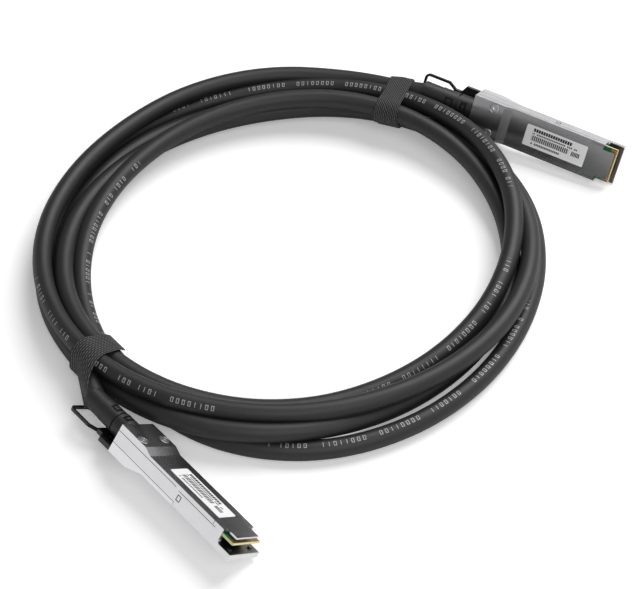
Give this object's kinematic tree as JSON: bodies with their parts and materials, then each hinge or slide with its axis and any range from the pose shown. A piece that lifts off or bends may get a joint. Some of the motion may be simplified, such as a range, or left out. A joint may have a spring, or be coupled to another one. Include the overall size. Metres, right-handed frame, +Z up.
{
  "type": "direct attach copper cable",
  "caption": "Coiled black copper network cable with a hooked metal plug, a moulded sleeve and a pull tab on each end, held by woven straps.",
  "frame": {"origin": "on the ground under the middle of the box round both plugs and both straps", "axes": "+Z up from the ground, through the flat coil; +Y away from the viewer of the picture and +X to the viewer's right"},
  "size_m": [0.2664, 0.2897, 0.0255],
  "materials": {
    "zinc": "satin nickel plate on a die casting",
    "board": "glass laminate with solder mask",
    "gold": "hard gold plate",
    "chip": "moulded epoxy",
    "lead_foil": "foil wrap",
    "spring_steel": "stamped",
    "tab": "glossy moulded elastomer",
    "sleeve": "matt moulded elastomer",
    "brass": "drawn tube",
    "screw": "bright plated",
    "label": "polyester film",
    "strap": "woven hook and loop tape",
    "jacket": "satin extruded PVC"
  },
  "bodies": {
    "root": {"lower_shell_a": "zinc", "lower_shell_b": "zinc", "upper_shell_a": "zinc", "upper_shell_b": "zinc", "paddle_card_a": "board", "paddle_card_b": "board", "contact_pads_a": "gold", "contact_pads_b": "gold", "card_chips_a": "chip", "card_chips_b": "chip", "pair_leads_a": "lead_foil", "pair_leads_b": "lead_foil", "strain_relief_a": "sleeve", "strain_relief_b": "sleeve", "crimp_ring_a": "brass", "crimp_ring_b": "brass", "shell_screws_a": "screw", "shell_screws_b": "screw", "label_plate_a": "label", "label_plate_b": "label", "strap_a": "strap", "strap_b": "strap", "cable_coil": "jacket", "cable_end_a": "jacket", "cable_end_b": "jacket"},
    "latch_a": {"latch_slide_a": "spring_steel", "pull_tab_a": "tab"},
    "latch_b": {"latch_slide_b": "spring_steel", "pull_tab_b": "tab"}
  },
  "joints": [
    {"name": "latch_a_pull", "type": "slide", "parent": "root", "child": "latch_a", "axis": [-0.6546, 0.7557, 0.0174], "range_m": [0, 0.0025], "stiffness_N_per_m": 1200},
    {"name": "latch_b_pull", "type": "slide", "parent": "root", "child": "latch_b", "axis": [-0.8795, 0.4716, 0.0645], "range_m": [0, 0.0025], "stiffness_N_per_m": 1200}
  ]
}
